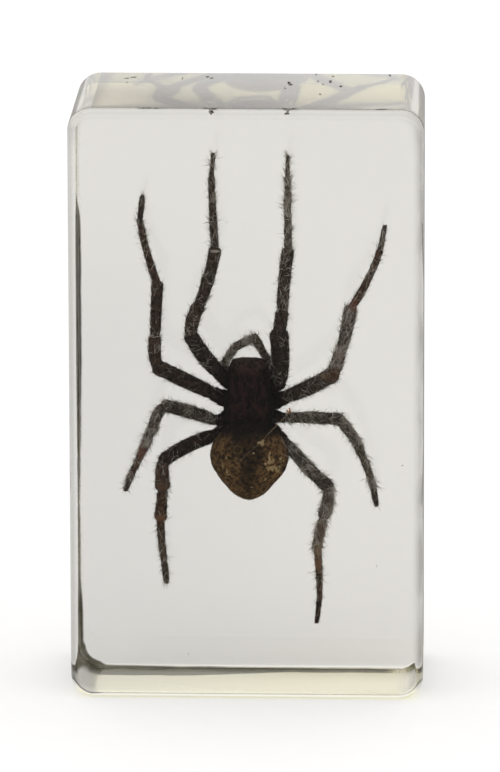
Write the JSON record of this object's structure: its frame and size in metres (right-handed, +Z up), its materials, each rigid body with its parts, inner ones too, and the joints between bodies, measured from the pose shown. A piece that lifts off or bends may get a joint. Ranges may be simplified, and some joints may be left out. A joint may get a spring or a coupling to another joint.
{
  "type": "spider in resin block",
  "caption": "Upright rounded block of clear resin holding one long-legged spider at mid-depth, back to the front face.",
  "frame": {"origin": "middle of the bottom face that the block stands on", "axes": "+Z up along the block's length, the spider's head end up; +Y from the front face to the back face, through the block's thickness; +X to the viewer's right"},
  "size_m": [0.0416, 0.0204, 0.0715],
  "materials": {
    "clear_resin": "clear cast resin, polished, faintly cream in long paths",
    "spider": "dried spider, near-black brown legs and carapace with pale short hairs, amber sides on the abdomen"
  },
  "bodies": {
    "root": {"resin_front": "clear_resin", "resin_back": "clear_resin", "spider": "spider"}
  },
  "joints": []
}
